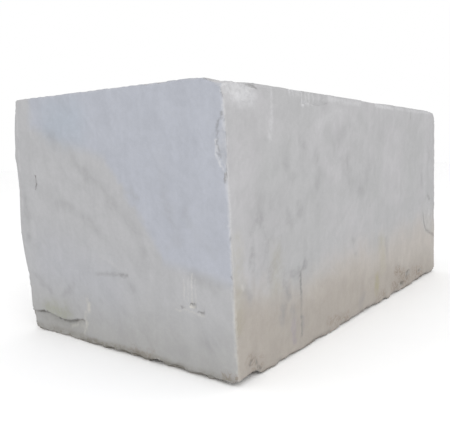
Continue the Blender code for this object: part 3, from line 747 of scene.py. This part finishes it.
class Paint:
    """One material's nodes. Most methods add nodes and return what comes out of them."""

    def __init__(self, name):
        self.material = bpy.data.materials.new(name)
        self.material.use_nodes = True
        self.tree = self.material.node_tree
        self.shader = self.tree.nodes["Principled BSDF"]

    def set(self, socket, value):
        """Gives a socket a value, which is a number, a vector, or another node's output."""
        if isinstance(value, bpy.types.NodeSocket):
            self.tree.links.new(value, socket)
        else:
            socket.default_value = value

    def node(self, kind, *values, **settings):
        """A node with these settings, and with these values in its first inputs."""
        made = self.tree.nodes.new("ShaderNode" + kind)
        for name, setting in settings.items():
            setattr(made, name, setting)
        for socket, value in zip([s for s in made.inputs if s.enabled], values):
            self.set(socket, value)
        return made

    def named(self, kind, values, **settings):
        """A node with these settings, and with values given under the names of its inputs."""
        made = self.node(kind, **settings)
        for name, value in values.items():
            self.set(made.inputs[name], value)
        return made

    def math(self, operation, *values):
        """The result of one sum, product or the like."""
        return self.node("Math", *values, operation=operation).outputs[0]

    def vector(self, operation, *values):
        """The result of one operation on vectors, which is a number for some of them."""
        made = self.node("VectorMath", *values, operation=operation)
        return made.outputs["Value" if operation in ("DOT_PRODUCT", "DISTANCE") else "Vector"]

    def scaled(self, value, share):
        """A vector times a number."""
        made = self.named("VectorMath", {"Vector": value, "Scale": share}, operation="SCALE")
        return made.outputs["Vector"]

    def attribute(self, name):
        """A number that the mesh holds at each point."""
        return self.node("Attribute", attribute_name=name).outputs["Fac"]

    def noise(self, place, scale, detail=3.0, roughness=0.5, distortion=0.0):
        """Noise from 0 to 1 with this many features a metre."""
        values = {
            "Vector": place,
            "Scale": scale,
            "Detail": detail,
            "Roughness": roughness,
            "Distortion": distortion,
        }
        return self.named("TexNoise", values).outputs["Fac"]

    def shaken(self, place, amount, by, scale, detail):
        """A place moved by this much noise, which is taken at another place."""
        made = self.named("TexNoise", {"Vector": by, "Scale": scale, "Detail": detail})
        moved = self.vector("SUBTRACT", made.outputs["Color"], (0.5, 0.5, 0.5))
        return self.vector("ADD", place, self.scaled(moved, amount))

    def step(self, value, low, high, to_low=0.0, to_high=1.0):
        """A soft step from to_low to to_high as the value goes from low to high."""
        values = {
            "Value": value,
            "From Min": low,
            "From Max": high,
            "To Min": to_low,
            "To Max": to_high,
        }
        return self.named("MapRange", values, interpolation_type="SMOOTHSTEP").outputs["Result"]

    def blend(self, share, first, second, mode="MIX"):
        """Two colours, mixed by this share of the second."""
        made = self.node("Mix", data_type="RGBA", blend_type=mode)
        colours = [(*v, 1.0) if isinstance(v, tuple) else v for v in (first, second)]
        for name, given in (("Factor_Float", share), ("A_Color", colours[0]), ("B_Color", colours[1])):
            socket = next(s for s in made.inputs if s.identifier == name)
            self.set(socket, given)
        return next(s for s in made.outputs if s.identifier == "Result_Color")

    def share(self, *values):
        """The product of several shares."""
        total = values[0]
        for value in values[1:]:
            total = self.math("MULTIPLY", total, value)
        return total

    def line(self, place, start, end, width, strength):
        """How much of a soft line between two points covers each place."""
        along = Vector(end) - Vector(start)
        offset = self.vector("SUBTRACT", place, start)
        share = self.vector("DOT_PRODUCT", offset, tuple(along / along.length_squared))
        share = self.node("Clamp", share, 0.0, 1.0).outputs[0]
        nearest = self.vector("DISTANCE", offset, self.scaled(tuple(along), share))
        return self.step(nearest, width, 0.0, 0.0, strength)

    def lines(self, place, rows, spread):
        """The greatest cover of many lines. spread puts two coordinates of a face in a vector."""
        total = None
        for width, strength, *marks in rows:
            for start, end in zip(marks, marks[1:]):
                cover = self.line(place, spread(start), spread(end), width, strength)
                total = cover if total is None else self.math("MAXIMUM", total, cover)
        return total


def on_end(mark):
    """A place on the left end as a vector of the frame, without its x."""
    return (0.0, mark[0] + float(middle[1]), mark[1] + float(middle[2]))


def on_front(mark):
    """A place on the front as a vector of the frame, without its y."""
    return (mark[0] + float(middle[0]), 0.0, mark[1] + float(middle[2]))


class Stone:
    """The places, noises and shares that the layers of the marble are made from."""

    def __init__(self, paint):
        self.place = paint.node("TexCoord").outputs["Object"]
        axes = paint.node("SeparateXYZ", self.place).outputs
        self.x, self.y = axes["X"], axes["Y"]
        self.height = paint.math("SUBTRACT", axes["Z"], float(middle[2]))

        # What the mesh holds at each point.
        self.broken = paint.attribute("broken")
        self.left = paint.attribute("on_left")
        self.front = paint.attribute("on_front")
        self.hollow = paint.attribute("hollow")
        self.edge = paint.attribute("edge")

        # Unevenness from coarse to fine, and the thin curls that earth stains leave.
        self.clouds = paint.noise(self.place, 1.6, 4, 0.55, 0.4)
        self.mottle = paint.noise(self.place, 7.0, 5, 0.6, 0.8)
        self.fine = paint.noise(self.place, 38.0, 4, 0.6)
        self.grain = paint.noise(self.place, 170.0, 3, 0.6)
        self.curl = paint.noise(self.place, 20.0, 3, 0.55, 0.6)

        # Smudges that are drawn out along one way, and streaks that run down.
        along = paint.vector("DOT_PRODUCT", self.place, tuple(SMUDGE_WAY))
        stretch = paint.scaled(tuple(SMUDGE_WAY * -SMUDGE_STRETCH), along)
        self.drawn = paint.vector("ADD", self.place, stretch)
        self.smudge = paint.noise(self.drawn, 10.0, 5, 0.62, 0.5)
        tall = paint.vector("MULTIPLY", self.place, (1.0, 1.0, STREAK_SQUEEZE))
        self.streak = paint.noise(tall, 17.0, 4, 0.6)

        # Places for marks: loose for soft veins, and steady but ragged for sharp ones.
        self.loose = paint.shaken(self.place, 0.11, self.place, 11.0, 4.0)
        steady = paint.shaken(self.place, 0.02, self.place, 11.0, 4.0)
        self.steady = paint.shaken(steady, 0.028, self.place, 55.0, 3.0)


def on_face(paint, place, share, rows, spread):
    """The cover of the lines listed for one face, kept to that face."""
    flat = (0.0, 1.0, 1.0) if spread is on_end else (1.0, 0.0, 1.0)
    flat_place = paint.vector("MULTIPLY", place, flat)
    return paint.share(share, paint.lines(flat_place, rows, spread))


def lavender_share(paint, stone):
    """The share of the lavender zone: above a bent border on the left end."""
    y = paint.math("SUBTRACT", stone.y, float(middle[1]))
    y = paint.math("ADD", y, paint.math("MULTIPLY_ADD", stone.mottle, 0.16, -0.08))

    def above(point, slope):
        """How far each place is above the line through the point."""
        line = paint.math("MULTIPLY_ADD", y, slope, point[1] - slope * point[0])
        return paint.math("SUBTRACT", stone.height, line)

    bend = [above(BORDER_BEND, slope) for slope in BORDER_SLOPES]
    foot = above(BORDER_FOOT, BORDER_FOOT_SLOPE)
    rise = paint.math("MINIMUM", paint.math("MAXIMUM", *bend), foot)
    rise = paint.math("MINIMUM", rise, paint.math("SUBTRACT", BORDER_BACK, y))
    return paint.share(paint.step(rise, -0.03, 0.07), stone.left)


def zones_colour(paint, stone):
    """The stone with its clouds, and with the zones of the left end."""
    colour = paint.blend(paint.step(stone.clouds, 0.35, 0.68), STONE, CLOUD)
    colour = paint.blend(stone.left, colour, END_GREY)
    colour = paint.blend(lavender_share(paint, stone), colour, LAVENDER)
    cold = on_face(paint, stone.loose, stone.left, END_CYAN, on_end)
    colour = paint.blend(cold, colour, CYAN)
    low = on_face(paint, stone.loose, stone.left, END_COLD, on_end)
    return paint.blend(low, colour, END_LOW)


def foot_colour(paint, stone, colour, walls):
    """Paints shade on every wall towards the bed, and lets earth rise into all but the left end."""
    # Painted shade: every wall darker towards the bed, less so on the front.
    uneven = paint.math("MULTIPLY", stone.mottle, -0.20)
    foot = paint.step(paint.math("ADD", stone.height, uneven), *FOOT_FADE)
    foot = paint.share(foot, paint.math("MULTIPLY_ADD", stone.front, -0.30, 0.75))
    colour = paint.blend(foot, colour, FOOT_GREY)
    rise = paint.math("MULTIPLY_ADD", stone.x, EARTH_RISE, EARTH_LEVEL)
    level = paint.math("SUBTRACT", stone.height, rise)
    level = paint.math("MULTIPLY_ADD", stone.clouds, EARTH_CLOUDS, level)
    level = paint.math("MULTIPLY_ADD", stone.mottle, EARTH_MOTTLE, level)
    pink = paint.share(paint.step(level, *PINK_FADE, 0.0, 0.85), walls)
    colour = paint.blend(pink, colour, PINK)
    level = paint.math("MULTIPLY_ADD", stone.x, DARK_EARTH_FALL, level)
    earth = paint.share(paint.step(level, *EARTH_FADE, 0.0, 0.90), walls)
    return paint.blend(earth, colour, EARTH)


def hidden_veins(paint, stone, colour, walls):
    """Adds veins of the same kind, but in no order, to the faces that the photo doesn't show."""
    hidden = paint.math("SUBTRACT", walls, stone.front)
    vein = paint.noise(stone.drawn, 1.5, 3, 0.5, 0.5)
    vein = paint.math("ABSOLUTE", paint.math("SUBTRACT", vein, 0.5))
    vein = paint.share(paint.step(vein, 0.055, 0.0, 0.0, 0.30), hidden)
    vein = paint.share(vein, paint.step(stone.mottle, 0.40, 0.62, 0.1, 1.0))
    return paint.blend(vein, colour, VEIN)


def stained(paint, stone, colour):
    """Adds the veins and stains, which fine noise makes patchy, or curled where earth dried."""
    patchy = paint.share(
        paint.step(stone.fine, 0.30, 0.62, 0.45, 1.15), paint.step(stone.smudge, 0.34, 0.60, 0.6, 1.15)
    )
    curls = paint.math("ABSOLUTE", paint.math("SUBTRACT", stone.curl, 0.5))
    curls = paint.step(curls, 0.055, 0.0, 0.22, 1.0)
    for rows, share, spread, texture, tint in (
        (END_VEINS, stone.left, on_end, patchy, VEIN),
        (FRONT_VEINS, stone.front, on_front, patchy, VEIN),
        (END_MOSS, stone.left, on_end, patchy, GREEN_GREY),
        (END_EARTH, stone.left, on_end, curls, RUST),
        (FRONT_PURPLE, stone.front, on_front, patchy, PURPLE),
        (FRONT_OCHRE, stone.front, on_front, patchy, OCHRE),
        (FRONT_RUST, stone.front, on_front, curls, RUST),
    ):
        cover = on_face(paint, stone.loose, share, rows, spread)
        colour = paint.blend(paint.share(cover, texture), colour, tint)
    return colour


def walls_colour(paint, stone):
    """The stone of the sawn faces with its clouds, zones, veins and stains, and painted shade at the
    foot.
    """
    walls = paint.math("SUBTRACT", 1.0, stone.left)
    colour = zones_colour(paint, stone)
    colour = foot_colour(paint, stone, colour, walls)
    colour = hidden_veins(paint, stone, colour, walls)
    return stained(paint, stone, colour)


def soil_and_shade_share(paint, stone):
    """The share of the band of soil and painted shade on the foot."""
    by_mottle, by_fine = FOOT_BAND_SHIFTS
    jagged = paint.math("MULTIPLY_ADD", stone.mottle, by_mottle, stone.height)
    jagged = paint.math("MULTIPLY_ADD", stone.fine, by_fine, jagged)
    jagged = paint.math("MULTIPLY_ADD", stone.left, FOOT_BAND_LEFT, jagged)
    jagged = paint.math("MULTIPLY_ADD", stone.front, FOOT_BAND_FRONT, jagged)
    foot_band = paint.step(jagged, *FOOT_BAND_FADE)
    foot_band = paint.share(foot_band, paint.step(stone.clouds, 0.35, 0.60, 0.30, 0.75))
    return paint.share(foot_band, paint.step(stone.fine, 0.36, 0.62, 1.0, 0.45))


def broken_colour(paint, stone, colour):
    """Adds broken stone's crystalline look, soil and painted shade by the bed, and worn arrises with a
    painted highlight.
    """
    high = paint.step(stone.height, *FRESH_FADE)
    fracture = paint.blend(high, FOOT_GREY, GRAIN)
    cover = paint.share(stone.broken, paint.step(stone.fine, 0.25, 0.65, 0.3, 0.9))
    cover = paint.share(cover, paint.step(high, 0.0, 1.0, 1.0, 0.45))
    colour = paint.blend(cover, colour, fracture)
    # The band on the foot: soil, with painted shade.
    colour = paint.blend(soil_and_shade_share(paint, stone), colour, SOIL_AND_SHADE)
    # Worn arrises high up: pale wear and a painted highlight.
    worn = paint.share(stone.edge, paint.step(stone.mottle, 0.35, 0.65), high)
    colour = paint.blend(paint.math("MULTIPLY", worn, 0.45), colour, WORN_AND_HIGHLIGHT)
    # Painted shade in the hollows near the bed, in the colour of soil.
    hollow_shade = paint.share(paint.step(stone.hollow, 0.05, 0.20), paint.step(high, 0.0, 1.0, 0.55, 0.0))
    return paint.blend(hollow_shade, colour, SOIL_AND_SHADE)


def arris_share(paint, stone, names, width):
    """How near a place is to the arris between two faces, as a soft line along its length."""
    ends = [end for end in ENDS if not set(names) & set(end)][0]
    start, finish = (tuple(float(v) for v in meeting_point(*names, end)) for end in ends)
    return paint.line(stone.steady, start, finish, width, 1.0)


def on_both(paint, stone, end_rows, front_rows):
    """The cover of the lines listed for the left end and for the front."""
    end = on_face(paint, stone.steady, stone.left, end_rows, on_end)
    front = on_face(paint, stone.steady, stone.front, front_rows, on_front)
    return paint.math("MAXIMUM", end, front)


def marks_share(paint, stone):
    """The cover of the small dark cracks, and of painted shadows in the pits and elsewhere, which the
    fine noise breaks up.
    """
    marks = on_both(paint, stone, END_MARKS, FRONT_MARKS)
    return paint.share(marks, paint.step(stone.fine, 0.32, 0.60, 0.35, 1.0))


def pale_share(paint, stone):
    """The cover of the pale spalls, scratches and painted highlights, and of the worn arris between
    the walls.
    """
    pale = on_both(paint, stone, END_PALE, FRONT_PALE)
    # The near arris: pale wear with a painted highlight.
    near = arris_share(paint, stone, ("left", "front"), NEAR_ARRIS_WIDTH)
    near = paint.share(near, paint.step(stone.smudge, 0.30, 0.60, 0.35, 0.75))
    pale = paint.math("MAXIMUM", pale, near)
    return paint.share(pale, paint.step(stone.fine, 0.30, 0.58, 0.45, 1.0))


def unevenness(paint, stone):
    """A grey close to white, a little lighter or darker with each of the noises."""
    shade = paint.share(
        paint.step(stone.mottle, 0.25, 0.75, 0.97, 1.025),
        paint.step(stone.smudge, 0.36, 0.66, 1.02, 0.955),
        paint.step(stone.streak, 0.3, 0.7, 0.98, 1.015),
        paint.step(stone.fine, 0.25, 0.75, 0.975, 1.02),
        paint.step(stone.grain, 0.2, 0.8, 0.97, 1.03),
    )
    return paint.node("CombineColor", shade, shade, shade).outputs[0]


def fine_relief(paint, stone, marks, pale):
    """The normal after relief too fine for the mesh. Its heights are in metres."""
    rough = paint.step(stone.broken, 0.0, 1.0, 0.0008, 0.0045)
    relief = paint.math("MULTIPLY", stone.grain, 0.0004)
    relief = paint.math("MULTIPLY_ADD", stone.fine, rough, relief)
    relief = paint.math("MULTIPLY_ADD", pale, -0.0012, relief)
    relief = paint.math("MULTIPLY_ADD", marks, -0.0040, relief)
    bump = paint.named("Bump", {"Height": relief, "Distance": 1.0, "Strength": 0.8})
    return bump.outputs["Normal"]


def marble():
    """The stone of the whole block, with its veins, stains and breaks, and painted shade and
    highlights.
    """
    paint = Paint("marble")
    stone = Stone(paint)
    marks = marks_share(paint, stone)
    pale = pale_share(paint, stone)
    pale_colour = paint.blend(paint.step(stone.height, *PALE_FADE), PALE_LOW, PALE_HIGH)
    colour = walls_colour(paint, stone)
    colour = broken_colour(paint, stone, colour)
    # The dark cracks and painted shadows, then the pale marks with their painted highlights.
    colour = paint.blend(marks, colour, MARK)
    colour = paint.blend(pale, colour, pale_colour)
    colour = paint.blend(1.0, colour, unevenness(paint, stone), "MULTIPLY")
    paint.set(paint.shader.inputs["Base Color"], colour)
    paint.set(paint.shader.inputs["Roughness"], paint.step(stone.mottle, 0.3, 0.7, 0.62, 0.80))
    paint.set(paint.shader.inputs["Normal"], fine_relief(paint, stone, marks, pale))
    return paint.material


block = block_surface(marble())
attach(block, "root")
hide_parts(NODE)

# ---------------------------------------------------------------- the studio

# The camera, solved from the corners of the block in the photo: its place from the block's own
# origin, its turn, and its lens in millimetres.
CAMERA_PLACE = (-3.8986, -2.5779, 1.2413)
CAMERA_YAW, CAMERA_PITCH, CAMERA_ROLL = (radians(v) for v in (37.567, -7.404, -1.401))
CAMERA_LENS = 43.847

# One large soft light high on the left, with its size in metres and its power in watts, turned
# to the block's middle, and a floor that reaches this far each way.
SOFTBOX_PLACE = (-9.0, -8.2, 9.6)
SOFTBOX_TARGET = (0, 0, 0.8)
SOFTBOX_SIZE = 9.0
SOFTBOX_POWER = 620.0
FLOOR_REACH = 40.0


def photo_camera():
    """The camera at the height of a standing person's chest, turned as the photograph was."""
    forward = np.array(
        (
            cos(CAMERA_YAW) * cos(CAMERA_PITCH),
            sin(CAMERA_YAW) * cos(CAMERA_PITCH),
            sin(CAMERA_PITCH),
        )
    )
    level = np.array((sin(CAMERA_YAW), -cos(CAMERA_YAW), 0))
    upright = np.cross(level, forward)
    right = level * cos(CAMERA_ROLL) + upright * sin(CAMERA_ROLL)
    up = upright * cos(CAMERA_ROLL) - level * sin(CAMERA_ROLL)
    data = bpy.data.cameras.new("camera")
    data.lens = CAMERA_LENS
    camera = bpy.data.objects.new("camera", data)
    camera.matrix_world = (
        Matrix.Translation(Vector(middle) + Vector(CAMERA_PLACE))
        @ Matrix((right, up, -forward)).transposed().to_4x4()
    )
    bpy.context.scene.collection.objects.link(camera)
    bpy.context.scene.camera = camera


def pale_floor():
    """A plain, pale, matt floor."""
    paint = Paint("floor")
    speckle = paint.noise(paint.node("TexCoord").outputs["Object"], 3.0)
    colour = paint.blend(speckle, (0.97, 0.97, 0.97), (0.99, 0.99, 0.99))
    paint.set(paint.shader.inputs["Base Color"], colour)
    paint.shader.inputs["Roughness"].default_value = 0.9
    return paint.material


def softbox():
    """The large soft light."""
    lamp = bpy.data.lights.new("softbox", "AREA")
    lamp.size = SOFTBOX_SIZE
    lamp.energy = SOFTBOX_POWER
    light = bpy.data.objects.new("softbox", lamp)
    light.location = SOFTBOX_PLACE
    away = Vector(light.location) - Vector(SOFTBOX_TARGET)
    light.rotation_euler = away.to_track_quat("Z", "Y").to_euler()
    bpy.context.scene.collection.objects.link(light)


def studio():
    """A white surround, the soft light and the floor."""
    bpy.context.scene.view_settings.view_transform = "Standard"
    world = bpy.data.worlds.new("studio")
    world.use_nodes = True
    background = world.node_tree.nodes["Background"]
    background.inputs["Color"].default_value = (1, 1, 1, 1)
    background.inputs["Strength"].default_value = 1.0
    bpy.context.scene.world = world
    softbox()
    corners = FLOOR_REACH * np.array(((-1, -1, 0), (1, -1, 0), (1, 1, 0), (-1, 1, 0)))
    floor = new_mesh_object("floor", corners, np.array(((0, 1, 2, 3),)), pale_floor())


photo_camera()
studio()
